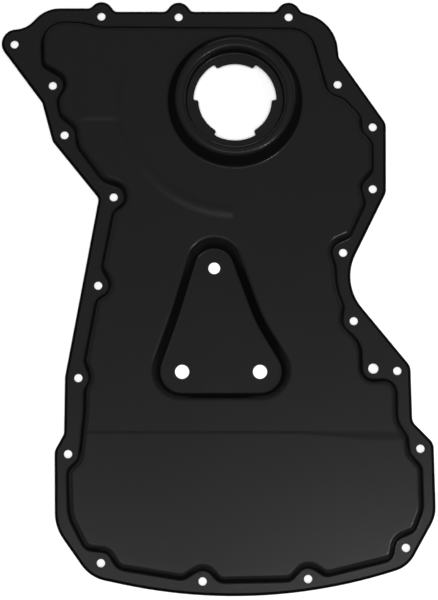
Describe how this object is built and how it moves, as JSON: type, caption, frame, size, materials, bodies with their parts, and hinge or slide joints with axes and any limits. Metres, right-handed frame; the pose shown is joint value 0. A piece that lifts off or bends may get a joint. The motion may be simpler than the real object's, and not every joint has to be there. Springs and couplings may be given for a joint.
{
  "type": "engine timing cover",
  "caption": "Pressed sheet-steel timing cover: a shallow pan with a scalloped wall, a drilled sealing flange, a raised bayonet filler ring and a sunk triangular fixing pad.",
  "frame": {"origin": "under the middle of the cover's outline, level with the back of the sunk fixing pad", "axes": "+Z out through the cover's face, +Y up the cover towards the filler ring, +X to the right seen from outside"},
  "size_m": [0.365, 0.504, 0.038],
  "materials": {
    "black_coat": "black satin dip coat on pressed steel"
  },
  "bodies": {
    "root": {"timing_cover": "black_coat"}
  },
  "joints": []
}
